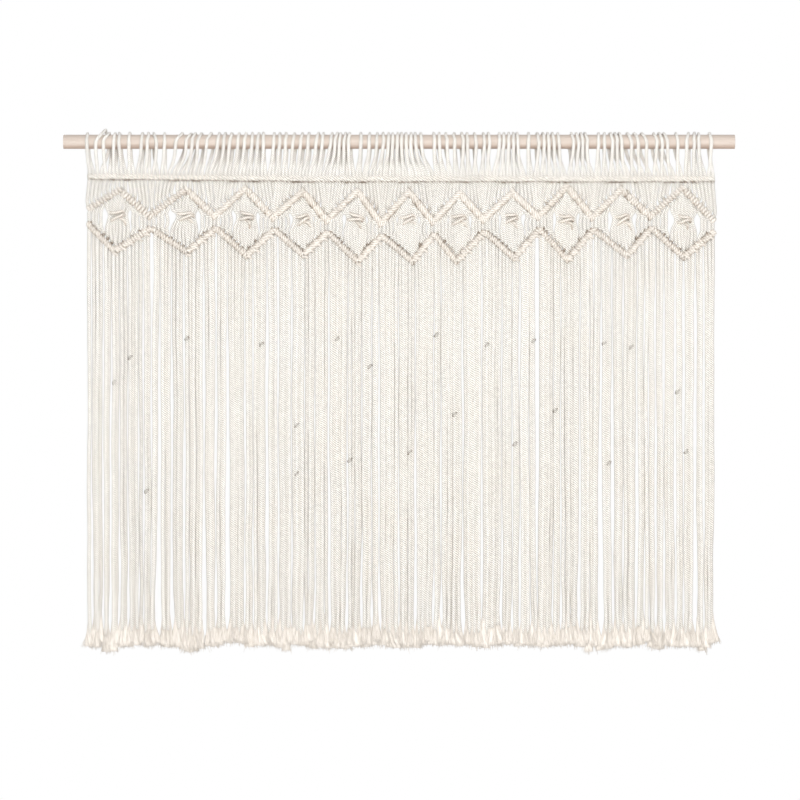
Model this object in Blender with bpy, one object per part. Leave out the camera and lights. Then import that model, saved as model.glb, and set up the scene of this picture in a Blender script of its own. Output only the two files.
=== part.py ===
"""A macrame wall hanging on its wooden rod, as it hangs.

88 cotton cords are doubled over the rod. A horizontal row of double half hitches gathers their 176 ends
into a header bar. Below it two zigzag rows of hitches cross into 11 diamonds, each with a square knot in
its middle, and a second row hugs the lower zigzag. The ends hang from that row as a fringe with a frayed
hem. +Z is up, the front faces -Y, and the origin is on the rod's axis at its middle.

Sizes and tables are in millimetres, and MM turns them into Blender's metres.
"""

import math
from collections import namedtuple

import bmesh
import bpy
from mathutils import Vector

MM = 0.001

# Driving dimensions
ROD_LENGTH = 900.0
ROD_DIAMETER = 19.0
ROD_SIDES = 32
CORD_WIDTH = 4.8
CORD_DEPTH = 4.2
CORDS_IN_DIAMOND = 16
PIECE_GAP = 0.3
LAYER_GAP = 0.8  # between the flat backs of the front and the rear cords

# The loops over the rod
LOOP_DEPTH = 3.4  # a cord flattens where it bends over the rod
WRAP_STEPS = 3  # flats over the rod, from straight in front of it to straight behind it

# The bars of hitches: half their height, half their depth on a rib, and a groove's share of that depth
HEADER_Z = -49.5
HEADER_LEFT_RISE = 3.5
HEADER_LEVEL_FROM = -100.0
HEADER_HALF_HEIGHT = 5.0
UPPER_HALF_HEIGHT = 5.2
LOWER_HALF_HEIGHT = 3.7
HUGGING_HALF_HEIGHT = 3.2
BAR_HALF_DEPTH = 6.4
GROOVE = 0.74
RIBS_ON_LEG = 3
UPPER_ABOVE_CORNER = 2.0
LOWER_BELOW_CORNER = 4.6
LOWER_BELOW_FOOT = 3.7
GAP_BETWEEN_ROWS = 0.5
HUGGING_DROP = LOWER_HALF_HEIGHT + HUGGING_HALF_HEIGHT + GAP_BETWEEN_ROWS

# The knots
KNOT_HALF_WIDTH = 9.0
KNOT_HALF_HEIGHT = 5.4
KNOT_HALF_DEPTH = 7.0
KNOT_SLANT = 3.5
KNOT_GRIP = 1.8  # how far past a square knot's middle the strands that it holds still reach
SMALL_KNOT_WIDTH = 7.6
SMALL_KNOT_DEPTH = 7.0
SMALL_KNOT_HALF_HEIGHT = 5.0

# A square knot's two ridges: places across its half width, and the share of its full section there
Swell = namedtuple("Swell", "across size")
SQUARE_KNOT = (Swell(-1.0, 0.5), Swell(-0.5, 1.0), Swell(0.0, 0.72), Swell(0.5, 1.0), Swell(1.0, 0.5))

# The fringe
HEM_Z = -676.0
HEM_UNEVENNESS = 5.0
FRAY_SPREAD = 1.2

# The uneven hem as waves along the row of ends: the turn from cord to cord, where it starts, and its share
Wave = namedtuple("Wave", "turn start share")
HEM_WAVES = (Wave(0.31, 0.0, 0.4), Wave(1.13, 1.0, 0.3), Wave(2.9, 0.0, 0.3))

# A bunch of loops that sit side by side on the rod: how many, where its first and its last cord pass down
# the rod's front, and how far along the rod a cord's top leans from there.
Bunch = namedtuple("Bunch", "loops first last lean")
BUNCHES = (
    Bunch(1, -418, -418, 0),
    Bunch(2, -406, -396, 7),
    Bunch(2, -382, -375, 1),
    Bunch(1, -362, -362, 0),
    Bunch(2, -345, -337, 2),
    Bunch(1, -325, -325, -3),
    Bunch(1, -314, -314, 0),
    Bunch(1, -299, -299, 8),
    Bunch(3, -285, -270, 5),
    Bunch(1, -258, -258, 6),
    Bunch(3, -243, -227, 2),
    Bunch(2, -216, -207, 2),
    Bunch(3, -197, -182, 1),
    Bunch(3, -168, -152, 1),
    Bunch(3, -142, -122, 2),
    Bunch(2, -111, -103, 2),
    Bunch(5, -92, -68, 2),
    Bunch(1, -51, -51, 0),
    Bunch(2, -40, -30, 1),
    Bunch(8, -21, 22, 0),
    Bunch(1, 30, 30, -1),
    Bunch(2, 47, 54, -1),
    Bunch(2, 64, 74, -1),
    Bunch(2, 86, 92, -2),
    Bunch(1, 103, 103, -2),
    Bunch(2, 114, 121, -1),
    Bunch(5, 134, 159, 0),
    Bunch(1, 173, 173, 1),
    Bunch(5, 187, 214, -2),
    Bunch(4, 234, 252, -3),
    Bunch(2, 267, 275, 0),
    Bunch(3, 286, 298, -3),
    Bunch(2, 311, 320, -5),
    Bunch(1, 331, 331, -6),
    Bunch(3, 345, 359, -4),
    Bunch(1, 373, 373, -3),
    Bunch(1, 385, 385, 2),
    Bunch(2, 395, 401, 0),
    Bunch(1, 418, 418, -2),
)

# The diamonds from left to right: the apex of the upper zigzag, the corner to its right where the rows
# cross, the foot of the lower zigzag, and the middle of the square knot.
Diamond = namedtuple("Diamond", "apex_x apex_z corner_x corner_z foot_x foot_z knot_x knot_z")
LEFT_CORNER_X, LEFT_CORNER_Z = -418, -97
DIAMONDS = (
    Diamond(-372, -67, -332, -104, -381, -138, -377, -99),
    Diamond(-283, -66, -245, -104, -284, -139, -286, -100),
    Diamond(-204, -65, -167, -106, -204, -144, -205, -101),
    Diamond(-127, -69, -95, -110, -128, -143, -129, -104),
    Diamond(-54, -68, -23, -114, -55, -152, -58, -103),
    Diamond(15, -69, 47, -112, 19, -152, 12, -104),
    Diamond(83, -71, 115, -109, 77, -152, 80, -104),
    Diamond(154, -70, 189, -105, 155, -147, 150, -103),
    Diamond(227, -62, 261, -106, 226, -150, 224, -104),
    Diamond(300, -66, 339, -104, 306, -144, 299, -104),
    Diamond(382, -64, 423, -109, 382, -146, 382, -105),
)

# The wider slits that stay open between the loose ends: where, and how wide at the row and at the hem.
Slit = namedtuple("Slit", "x top hem")
SLITS = (
    Slit(-377, 0, 4),
    Slit(-331, 4, 1),
    Slit(-322, 1, 6),
    Slit(-248, 3, 1),
    Slit(-231, 1, 5),
    Slit(-179, 2, 3),
    Slit(-165, 3, 2),
    Slit(-95, 1, 2),
    Slit(-38, 1, 4),
    Slit(17, 1, 4),
    Slit(98, 1, 0),
    Slit(160, 1, 3),
    Slit(186, 5, 0),
    Slit(269, 2, 8),
    Slit(334, 2, 4),
    Slit(346, 3, 2),
    Slit(371, 4, 3),
    Slit(395, 2, 7),
)
SLIT_REACH = 18.0

# The small overhand knots, each tied in the nearest front cord of the fringe.
SmallKnot = namedtuple("SmallKnot", "x z")
SMALL_KNOTS = (
    SmallKnot(-385, -322),
    SmallKnot(-365, -289),
    SmallKnot(-343, -468),
    SmallKnot(-283, -264),
    SmallKnot(-187, -271),
    SmallKnot(-142, -380),
    SmallKnot(-138, -445),
    SmallKnot(-79, -264),
    SmallKnot(-69, -427),
    SmallKnot(-40, -301),
    SmallKnot(11, -416),
    SmallKnot(45, -259),
    SmallKnot(76, -365),
    SmallKnot(114, -272),
    SmallKnot(154, -405),
    SmallKnot(178, -267),
    SmallKnot(214, -360),
    SmallKnot(275, -270),
    SmallKnot(284, -431),
    SmallKnot(315, -275),
    SmallKnot(379, -335),
    SmallKnot(385, -416),
)

# Where the few thick strands inside a diamond leave its bars, as shares of its width.
SIDE_SHARES = (0.14, 0.86)
FAN_SHARES = (0.34, 0.50, 0.66)
SIDE_WIDTH = 10.0
FAN_WIDTH_AT_BAR, FAN_WIDTH_AT_KNOT = 11.0, 4.4

FRONT, REAR = -1, 1


def collection(name):
    made = bpy.data.collections.new(name)
    bpy.context.scene.collection.children.link(made)
    return made


def finish(name, hex_colour, roughness):
    material = bpy.data.materials.new(name)
    material.use_nodes = True
    shader = material.node_tree.nodes["Principled BSDF"]
    channels = [int(hex_colour[i : i + 2], 16) / 255 for i in (0, 2, 4)]
    linear = [c / 12.92 if c <= 0.04045 else ((c + 0.055) / 1.055) ** 2.4 for c in channels]
    shader.inputs["Base Color"].default_value = (*linear, 1)
    shader.inputs["Roughness"].default_value = roughness
    shader.inputs["Metallic"].default_value = 0
    material.diffuse_color = (*linear, 1)
    return material


def along(a, b, share):
    return a + (b - a) * share


def loft(shape, rings):
    """Adds one closed body to the bmesh: side faces from ring to ring, and a cap on each end."""
    loops = [[shape.verts.new(point * MM) for point in ring] for ring in rings]
    sides = len(loops[0])
    for here, there in zip(loops, loops[1:]):
        for i in range(sides):
            j = (i + 1) % sides
            shape.faces.new((here[i], here[j], there[j], there[i]))
    shape.faces.new(loops[0][::-1])
    shape.faces.new(loops[-1])


def piece(name, shape, material, where):
    bmesh.ops.recalc_face_normals(shape, faces=shape.faces)
    mesh = bpy.data.meshes.new(name)
    shape.to_mesh(mesh)
    shape.free()
    made = bpy.data.objects.new(name, mesh)
    made.data.materials.append(material)
    where.objects.link(made)
    return made


def join(whole, part):
    """Fuses a helper shape into the piece that it belongs to."""
    part.hide_render = True
    part.display_type = "WIRE"
    union = whole.modifiers.new("fused_" + part.name, "BOOLEAN")
    union.operation = "UNION"
    union.solver = "EXACT"
    union.object = part


# Where things are across the hanging


def corners():
    """The diamonds' side corners, from the left edge to the right one."""
    return [(LEFT_CORNER_X, LEFT_CORNER_Z)] + [(d.corner_x, d.corner_z) for d in DIAMONDS]


def cord_x(index):
    """The middle of a cord's own place in the rows: 16 even places across each diamond."""
    diamond, place = divmod(index, CORDS_IN_DIAMOND)
    left, right = corners()[diamond][0], corners()[diamond + 1][0]
    return along(left, right, (place + 0.5) / CORDS_IN_DIAMOND)


def header_z(x):
    """The header bar's middle: level from near its middle on, and a little higher towards its left end."""
    level = LEFT_CORNER_X - HEADER_LEVEL_FROM
    return HEADER_Z + HEADER_LEFT_RISE * max(0.0, (x - HEADER_LEVEL_FROM) / level)


def upper_vertices():
    """The upper zigzag's turns: down at the corners, up at the apexes."""
    turns = [(x, z + UPPER_ABOVE_CORNER) for x, z in corners()]
    for place, diamond in enumerate(DIAMONDS):
        turns.insert(2 * place + 1, (diamond.apex_x, diamond.apex_z))
    return turns


def lower_vertices(drop=0.0):
    """The lower zigzag's turns: up at the corners, down at the feet."""
    turns = [(x, z - LOWER_BELOW_CORNER - drop) for x, z in corners()]
    for place, diamond in enumerate(DIAMONDS):
        turns.insert(2 * place + 1, (diamond.foot_x, diamond.foot_z - LOWER_BELOW_FOOT - drop))
    return turns


def height_at(turns, x):
    """The height of a zigzag at x."""
    for (x0, z0), (x1, z1) in zip(turns, turns[1:]):
        if x0 <= x <= x1:
            return along(z0, z1, (x - x0) / (x1 - x0))
    return turns[0][1] if x < turns[0][0] else turns[-1][1]


# Bars of hitches


def ribbed_bar(shape, stations, half_height):
    """A bar whose upright sections swell front and back on each rib and draw in at each groove."""
    rings = []
    for place, (x, z) in enumerate(stations):
        depth = BAR_HALF_DEPTH * (GROOVE if place % 2 == 0 else 1)
        top, foot = z + half_height, z - half_height
        outline = ((-depth, top), (-depth, foot), (depth, foot), (depth, top))
        rings.append([Vector((x, y, end)) for y, end in outline])
    loft(shape, rings)


def zigzag_stations(turns, ribs):
    """Points along a zigzag, so many ribs and grooves to each leg, with a groove at each turn."""
    stations = [turns[0]]
    for (x0, z0), (x1, z1) in zip(turns, turns[1:]):
        for step in range(1, 2 * ribs + 1):
            share = step / (2 * ribs)
            stations.append((along(x0, x1, share), along(z0, z1, share)))
    return stations


def header_stations():
    """Points along the header, with as many ribs over each diamond as its two legs have."""
    level_turns = [(x, 0.0) for x, _ in corners()]
    return [(x, header_z(x)) for x, _ in zigzag_stations(level_turns, 2 * RIBS_ON_LEG)]


# Cords


def cord_ring(x, z, layer, width=CORD_WIDTH, depth=CORD_DEPTH):
    """A cord's three-sided section: a flat back at the middle plane, and a ridge towards its own side."""
    back = layer * LAYER_GAP / 2
    return [
        Vector((x - width / 2, back, z)),
        Vector((x + width / 2, back, z)),
        Vector((x, back + layer * depth, z)),
    ]


def ring_in_row(x, turns, layer, width=CORD_WIDTH, depth=CORD_DEPTH):
    """A cord's end section inside a zigzag row, mitred to run along the middle of the row."""
    return [Vector((p.x, p.y, height_at(turns, p.x))) for p in cord_ring(x, 0, layer, width, depth)]


def wrap_ring(x, angle):
    """A loop's section where it bears on the rod, its flat side kept off the rod by the chord's sag."""
    bore = (ROD_DIAMETER / 2 + PIECE_GAP) / math.cos(math.pi / WRAP_STEPS / 2)
    out = Vector((0, -math.cos(angle), math.sin(angle)))
    middle = Vector((x, 0, 0)) + out * bore
    side = Vector((CORD_WIDTH / 2, 0, 0))
    return [middle - side, middle + side, middle + out * LOOP_DEPTH]


def rod(where, wood):
    bpy.ops.mesh.primitive_cylinder_add(
        vertices=ROD_SIDES,
        radius=ROD_DIAMETER / 2 * MM,
        depth=ROD_LENGTH * MM,
        rotation=(0, math.pi / 2, 0),
    )
    made = bpy.context.object
    made.name = made.data.name = "rod"
    for holder in made.users_collection:
        holder.objects.unlink(made)
    where.objects.link(made)
    made.data.materials.append(wood)
    made.data.shade_smooth()
    made.data.set_sharp_from_angle(angle=math.radians(40))


def loops_on_rod():
    """Each loop's place on the rod's front and its lean, from left to right."""
    placed = []
    for bunch in BUNCHES:
        for place in range(bunch.loops):
            share = place / max(1, bunch.loops - 1)
            placed.append((along(bunch.first, bunch.last, share), bunch.lean))
    return placed


def loop_cord(shape, index, rod_x, lean):
    """A doubled cord: up from the header in front, over the rod, and down to the header behind."""
    front_x, rear_x = cord_x(2 * index), cord_x(2 * index + 1)
    rings = [cord_ring(front_x, header_z(front_x), FRONT)]
    for step in range(WRAP_STEPS + 1):
        angle = math.pi * step / WRAP_STEPS
        climbed = math.sin(angle) if angle < math.pi / 2 else 1
        rings.append(wrap_ring(rod_x + lean * climbed, angle))
    rings.append(cord_ring(rear_x, header_z(rear_x), REAR))
    loft(shape, rings)


def heading(where, helpers, cotton):
    bar = bmesh.new()
    ribbed_bar(bar, header_stations(), HEADER_HALF_HEIGHT)
    made = piece("heading", bar, cotton, where)
    cords = bmesh.new()
    for index, (rod_x, lean) in enumerate(loops_on_rod()):
        loop_cord(cords, index, rod_x, lean)
    join(made, piece("loops", cords, cotton, helpers))


# The diamond band


def upper_cords(shape):
    """The cords from just under the header bar into the upper zigzag."""
    turns = upper_vertices()
    for index in range(CORDS_IN_DIAMOND * len(DIAMONDS)):
        x = cord_x(index)
        layer = REAR if index % 2 else FRONT
        top = header_z(x) - HEADER_HALF_HEIGHT - PIECE_GAP
        loft(shape, [cord_ring(x, top, layer), ring_in_row(x, turns, layer)])


def inner_strands(shape):
    """Inside each diamond: strands down its sides, and a fan into and out of its knot."""
    upper, lower = upper_vertices(), lower_vertices()
    middle_strand = (len(FAN_SHARES) - 1) / 2
    for place, diamond in enumerate(DIAMONDS):
        left, right = corners()[place][0], corners()[place + 1][0]
        for order, share in enumerate(SIDE_SHARES):
            x = along(left, right, share)
            layer = REAR if order % 2 else FRONT
            loft(shape, [ring_in_row(x, row, layer, SIDE_WIDTH) for row in (upper, lower)])
        for order, share in enumerate(FAN_SHARES):
            x = along(left, right, share)
            layer = REAR if order % 2 else FRONT
            knot_x = diamond.knot_x + (order - middle_strand) * (FAN_WIDTH_AT_KNOT + PIECE_GAP)
            for turns, grip in ((upper, KNOT_GRIP), (lower, -KNOT_GRIP)):
                knot_z = diamond.knot_z + grip
                at_bar = ring_in_row(x, turns, layer, FAN_WIDTH_AT_BAR)
                at_knot = cord_ring(knot_x, knot_z, layer, FAN_WIDTH_AT_KNOT)
                loft(shape, [at_bar, at_knot])


def square_knot(shape, diamond):
    """A square knot as two slanting ridges side by side, diamond-shaped in section."""
    rings = []
    for swell in SQUARE_KNOT:
        middle_x = diamond.knot_x + swell.across * KNOT_HALF_WIDTH
        slant, depth = swell.size * KNOT_SLANT, swell.size * KNOT_HALF_DEPTH
        rise = swell.size * KNOT_HALF_HEIGHT
        rings.append([
            Vector((middle_x + slant, 0, diamond.knot_z + rise)),
            Vector((middle_x, depth, diamond.knot_z)),
            Vector((middle_x - slant, 0, diamond.knot_z - rise)),
            Vector((middle_x, -depth, diamond.knot_z)),
        ])
    loft(shape, rings)


def diamond_band(where, helpers, cotton):
    upper = bmesh.new()
    ribbed_bar(upper, zigzag_stations(upper_vertices(), RIBS_ON_LEG), UPPER_HALF_HEIGHT)
    made = piece("diamond_band", upper, cotton, where)
    lower = bmesh.new()
    ribbed_bar(lower, zigzag_stations(lower_vertices(), RIBS_ON_LEG), LOWER_HALF_HEIGHT)
    join(made, piece("lower_zigzag", lower, cotton, helpers))
    knots = bmesh.new()
    for diamond in DIAMONDS:
        square_knot(knots, diamond)
    strands = bmesh.new()
    inner_strands(strands)
    short = bmesh.new()
    upper_cords(short)
    join(made, piece("short_cords", short, cotton, helpers))
    join(made, piece("inner_strands", strands, cotton, helpers))
    join(made, piece("square_knots", knots, cotton, helpers))


# The fringe


def slit_shift(x, width_of):
    """How far the open slits push a loose end aside: half a slit's width beside it, dying away beyond."""
    shift = 0.0
    for slit in SLITS:
        away = x - slit.x
        shift += math.copysign(width_of(slit) / 2, away) * math.exp(-abs(away) / SLIT_REACH)
    return shift


def hem_z(index):
    """Where a cord ends: the hem's height plus the sum of the waves at this cord."""
    return HEM_Z + HEM_UNEVENNESS * sum(w.share * math.sin(index * w.turn + w.start) for w in HEM_WAVES)


def loose_end_x(index, share):
    """Where a loose end hangs, a share of the way from the row to the hem."""
    x = cord_x(index)
    top, hem = slit_shift(x, lambda slit: slit.top), slit_shift(x, lambda slit: slit.hem)
    return x + along(top, hem, share)


def small_knots_by_cord():
    """The height of the small knot on each front cord that has one."""
    front_cords = range(0, CORDS_IN_DIAMOND * len(DIAMONDS), 2)
    tied = {}
    for knot in SMALL_KNOTS:
        nearest = min(front_cords, key=lambda index: abs(cord_x(index) - knot.x))
        tied[nearest] = knot.z
    return tied


def loose_end(shape, index, turns, knot_z):
    """A cord of the fringe from inside the hitched row to its frayed end."""
    layer = REAR if index % 2 else FRONT
    hem = hem_z(index)
    root_x = loose_end_x(index, 0)
    root_z = height_at(turns, root_x)

    def ring(z, width=CORD_WIDTH, depth=CORD_DEPTH):
        share = (root_z - z) / (root_z - hem)
        return cord_ring(loose_end_x(index, share), z, layer, width, depth)

    rings = [ring_in_row(root_x, turns, layer)]
    if knot_z is not None:
        rings.append(ring(knot_z + SMALL_KNOT_HALF_HEIGHT))
        rings.append(ring(knot_z, SMALL_KNOT_WIDTH, SMALL_KNOT_DEPTH))
        rings.append(ring(knot_z - SMALL_KNOT_HALF_HEIGHT))
    rings.append(ring(hem, CORD_WIDTH * FRAY_SPREAD, CORD_DEPTH * FRAY_SPREAD))
    loft(shape, rings)


def fringe(where, helpers, cotton):
    turns = lower_vertices(HUGGING_DROP)
    row = bmesh.new()
    ribbed_bar(row, zigzag_stations(turns, RIBS_ON_LEG), HUGGING_HALF_HEIGHT)
    made = piece("fringe", row, cotton, where)
    ends = bmesh.new()
    tied = small_knots_by_cord()
    for index in range(CORDS_IN_DIAMOND * len(DIAMONDS)):
        loose_end(ends, index, turns, tied.get(index))
    join(made, piece("loose_ends", ends, cotton, helpers))


def main():
    for old in list(bpy.data.objects):
        bpy.data.objects.remove(old, do_unlink=True)
    parts = collection("macrame_wall_hanging")
    helpers = collection("fused_shapes")
    wood = finish("dowel_wood", "E2CDBF", 0.6)
    cotton = finish("cotton_cord", "F1ECE2", 0.95)
    rod(parts, wood)
    heading(parts, helpers, cotton)
    diamond_band(parts, helpers, cotton)
    fringe(parts, helpers, cotton)


main()
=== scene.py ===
import math

import bpy
import numpy as np
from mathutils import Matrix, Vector


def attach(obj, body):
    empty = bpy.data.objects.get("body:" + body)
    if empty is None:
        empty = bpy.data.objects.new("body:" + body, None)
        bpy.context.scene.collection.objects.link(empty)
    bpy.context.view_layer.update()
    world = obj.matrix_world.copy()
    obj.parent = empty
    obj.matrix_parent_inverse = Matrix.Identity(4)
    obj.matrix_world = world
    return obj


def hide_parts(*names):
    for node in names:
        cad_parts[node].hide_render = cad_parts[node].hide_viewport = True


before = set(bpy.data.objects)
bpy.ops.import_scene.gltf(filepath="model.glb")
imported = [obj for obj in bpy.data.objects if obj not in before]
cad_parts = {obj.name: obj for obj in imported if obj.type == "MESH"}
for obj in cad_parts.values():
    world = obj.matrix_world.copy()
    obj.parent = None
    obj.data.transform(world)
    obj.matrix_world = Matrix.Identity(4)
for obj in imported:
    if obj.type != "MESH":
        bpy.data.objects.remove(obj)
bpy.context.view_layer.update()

# A macrame wall hanging on its wooden rod. Tables and sizes are in millimetres, in the rod's own frame:
# x runs right along the rod, z up, the front faces -y, and the origin is on the rod's axis at its middle.
mm = 0.001
dice = np.random.default_rng(88)

# The cord is 5 mm thick and turns once per lay; some cords are laid a little tighter than others
cord = {"lay": 12.2, "plies": 4, "laid": (0.98, 1.06), "inDiamond": 16, "sides": 8}
layer = {"front": -1.1, "rear": 1.1}  # the middles of the front and the rear cords

# Diamonds from left to right: the top of the upper rows, the corner to the right, the foot of the lower rows,
# the square knot, and how wide the openings are to its left and right
leftCorner = {"x": -418, "z": -97}
diamondTable = [
    ((-372, -67), (-332, -104), (-381, -138), (-377, -99), (7, 3)),
    ((-283, -66), (-245, -104), (-284, -139), (-286, -100), (8, 6)),
    ((-204, -65), (-167, -106), (-204, -144), (-205, -101), (4, 4)),
    ((-127, -69), (-95, -110), (-128, -143), (-129, -104), (3, 0)),
    ((-54, -68), (-23, -114), (-55, -152), (-58, -103), (3, 0)),
    ((15, -69), (47, -112), (19, -152), (12, -104), (0.5, 0)),
    ((83, -71), (115, -109), (77, -152), (80, -104), (0, 2.5)),
    ((154, -70), (189, -105), (155, -147), (150, -103), (2.5, 4)),
    ((227, -62), (261, -106), (226, -150), (224, -104), (4, 2.5)),
    ((300, -66), (339, -104), (306, -144), (299, -104), (5, 4)),
    ((382, -64), (423, -109), (382, -146), (382, -105), (7, 7.5)),
]
diamonds = [dict(zip(("apex", "corner", "foot", "knot", "openings"), places)) for places in diamondTable]
cornerX = np.array([leftCorner["x"]] + [d["corner"][0] for d in diamonds], float)
cornerZ = np.array([leftCorner["z"]] + [d["corner"][1] for d in diamonds], float)
cordCount = cord["inDiamond"] * len(diamonds)
cordIndex = np.arange(cordCount)
diamondOf = cordIndex // cord["inDiamond"]
placeInDiamond = (cordIndex % cord["inDiamond"] + 0.5) / cord["inDiamond"]
cordX = cornerX[diamondOf] + (cornerX[diamondOf + 1] - cornerX[diamondOf]) * placeInDiamond
layerY = np.where(cordIndex % 2, layer["rear"], layer["front"])

headerLine = {"z": -49.5, "levelFrom": -100, "leftRise": 3.5}


def headerZ(x):  # the header row is level from levelFrom on to the right, and rises towards its left end
    past = (x - headerLine["levelFrom"]) / (leftCorner["x"] - headerLine["levelFrom"])
    return headerLine["z"] + headerLine["leftRise"] * np.clip(past, 0, None)


def rowLegs(middles, cornerDrop, middleDrop, rising, falling):
    # A zigzag row as its legs from left to right, each a start and an end; the legs that rise to the right
    # are lifted by `rising`, the others by `falling`
    turns = np.empty((2 * len(diamonds) + 1, 2))
    turns[0::2] = np.stack([cornerX, cornerZ - cornerDrop], 1)
    turns[1::2] = np.array([d[middles] for d in diamonds], float) - [0, middleDrop]
    legs = np.stack([turns[:-1], turns[1:]], 1)
    legs[..., 1] += np.where(legs[:, 1:, 1] > legs[:, :1, 1], rising, falling)
    return legs


upperLegs = rowLegs("apex", cornerDrop=-2.0, middleDrop=0.0, rising=4.0, falling=-0.4)
lowerLegs = rowLegs("foot", cornerDrop=8.2, middleDrop=5.0, rising=-2.4, falling=-2.8)
huggingLegs = rowLegs("foot", cornerDrop=15.4, middleDrop=12.2, rising=0.0, falling=0.0)


def rowZ(legs, x):  # the height of a row's line at x
    return np.interp(x, legs[..., 0].ravel(), legs[..., 1].ravel())


# Tubes along paths


def linked(points, rings):
    # A smooth path through control points: a cubic in each stretch, which leaves a point along the line from
    # the point before to the point after. points is strands x points x 3.
    first = 2 * points[:, :1] - points[:, 1:2]
    last = 2 * points[:, -1:] - points[:, -2:-1]
    p = np.concatenate([first, points, last], 1)
    along = np.linspace(0, points.shape[1] - 1 - 1e-9, rings)
    k = along.astype(int)
    t = (along - k)[None, :, None]
    a, b, c, d = p[:, k], p[:, k + 1], p[:, k + 2], p[:, k + 3]
    return 0.5 * (2 * b + (c - a) * t + (2 * a - 5 * b + 4 * c - d) * t**2 + (3 * b - a - 3 * c + d) * t**3)


def throughStops(stops, rings):  # a path for each strand through stops, each of them its (x, y, z)
    return linked(np.stack([np.stack(stop, 1) for stop in stops], 1), rings)


def unit(v):  # each vector divided by its own length
    return v / np.maximum(np.linalg.norm(v, axis=-1, keepdims=True), 1e-9)


# Each tube has its own cell of the bake map: its side on the left of the cell and its two end caps, one above
# the other, on the right, all in shares of the cell
cell = {
    "left": 0.04, "wide": 0.86, "foot": 0.02, "tall": 0.96,
    "capX": 0.95, "capY": 0.3, "capRise": 0.3, "capRadius": 0.03,
}


def corners(*maps):  # map places of the sides and then of the caps, one row for each corner of a face
    return np.concatenate([np.stack(places, -1).reshape(-1, 2) for places in maps])


def tubeSet(paths, radius, across, tone=None, openness=1.0, pinch=0.0, sides=cord["sides"]):
    # Round tubes: point(strand, ring, j) = path + radius * (cos(2 pi j / sides) * side + sin(...) * up),
    # where side is the part of across that is square to the path, and up = path direction x side.
    # The cord map holds turns around the cord and millimetres along it, the bake map one cell for each tube.
    # openness is 1 where a cord lies free and 0 where it tucks under another, ring by ring, and tells the
    # material how much painted shade to lay on; pinch adds painted shade on the flanks that neighbouring
    # turns
    # press on: openness * (1 - pinch * cos^2).
    count, rings = paths.shape[:2]
    direction = unit(np.gradient(paths, axis=1))
    across = np.broadcast_to(np.asarray(across, float), paths.shape)
    side = unit(across - (across * direction).sum(-1, keepdims=True) * direction)
    up = np.cross(direction, side)
    radius = np.broadcast_to(radius, (count, rings))
    turn = 2 * np.pi * np.arange(sides) / sides
    circle = np.cos(turn)[:, None] * side[:, :, None] + np.sin(turn)[:, None] * up[:, :, None]
    points = paths[:, :, None] + radius[:, :, None, None] * circle
    step = np.linalg.norm(np.diff(paths, axis=1), axis=-1)
    length = np.concatenate([np.zeros((count, 1)), np.cumsum(step, 1)], 1)
    longest = length.max()
    columns = max(1, round(math.sqrt(count * longest / (2 * np.pi * radius.max()))))
    rows = -(-count // columns)

    strand, ring, j = np.meshgrid(np.arange(count), np.arange(rings - 1), np.arange(sides), indexing="ij")
    around = np.stack([j, j + 1, j + 1, j], -1)
    forward = np.stack([ring, ring, ring + 1, ring + 1], -1)
    quads = (strand[..., None] * rings + forward) * sides + around % sides
    start = dice.uniform(0, 1, count)
    turns = around / sides + start[:, None, None, None]
    laid = length * dice.uniform(*cord["laid"], (count, 1))
    runs = laid[strand[..., None], forward]
    cellX, cellY = (strand % columns)[..., None], (strand // columns)[..., None]
    bakeX = (cellX + cell["left"] + cell["wide"] * around / sides) / columns
    bakeY = (cellY + cell["foot"] + cell["tall"] * length[strand[..., None], forward] / longest) / rows

    tube = np.arange(count)[:, None]
    ends = np.stack([np.zeros(count, int), np.full(count, rings - 1)], 1)  # a flat cap on both ends
    order = np.stack([np.arange(sides)[::-1], np.arange(sides)])
    caps = (tube * rings + ends)[:, :, None] * sides + order
    capTurns = order / sides + start[:, None, None]
    capRuns = np.broadcast_to(laid[tube, ends][:, :, None], capTurns.shape)
    capX = (tube % columns)[..., None] + cell["capX"] + cell["capRadius"] * np.cos(turn[order])
    capY = (tube // columns)[..., None] + cell["capY"] + cell["capRadius"] * np.sin(turn[order])
    capY = capY + cell["capRise"] * (ends > 0)[:, :, None]
    openness = np.broadcast_to(openness, (count, rings))[..., None]
    return {
        "points": points.reshape(-1, 3),
        "quads": quads.reshape(-1, 4),
        "caps": caps.reshape(-1, sides),
        "cordMap": corners((turns, runs), (capTurns, capRuns)),
        "bakeMap": corners((bakeX, bakeY), (capX / columns, capY / rows)),
        "tone": np.repeat(dice.uniform(0, 1, count) if tone is None else tone, rings * sides),
        "openness": (openness * (1 - pinch * np.cos(turn) ** 2)).ravel(),
    }


def stackedMaps(sets, key):
    # Several sets share the bake map side by side, each in a strip as wide as its share of the faces
    faces = np.array([len(s["quads"]) for s in sets], float)
    left = np.concatenate([[0], np.cumsum(faces)]) / faces.sum()
    maps = []
    for s, start, end in zip(sets, left, left[1:]):
        places = s[key].copy()
        if key == "bakeMap":
            places[:, 0] = start + (end - start) * places[:, 0]
        maps.append(places)
    return np.concatenate(maps)


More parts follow.
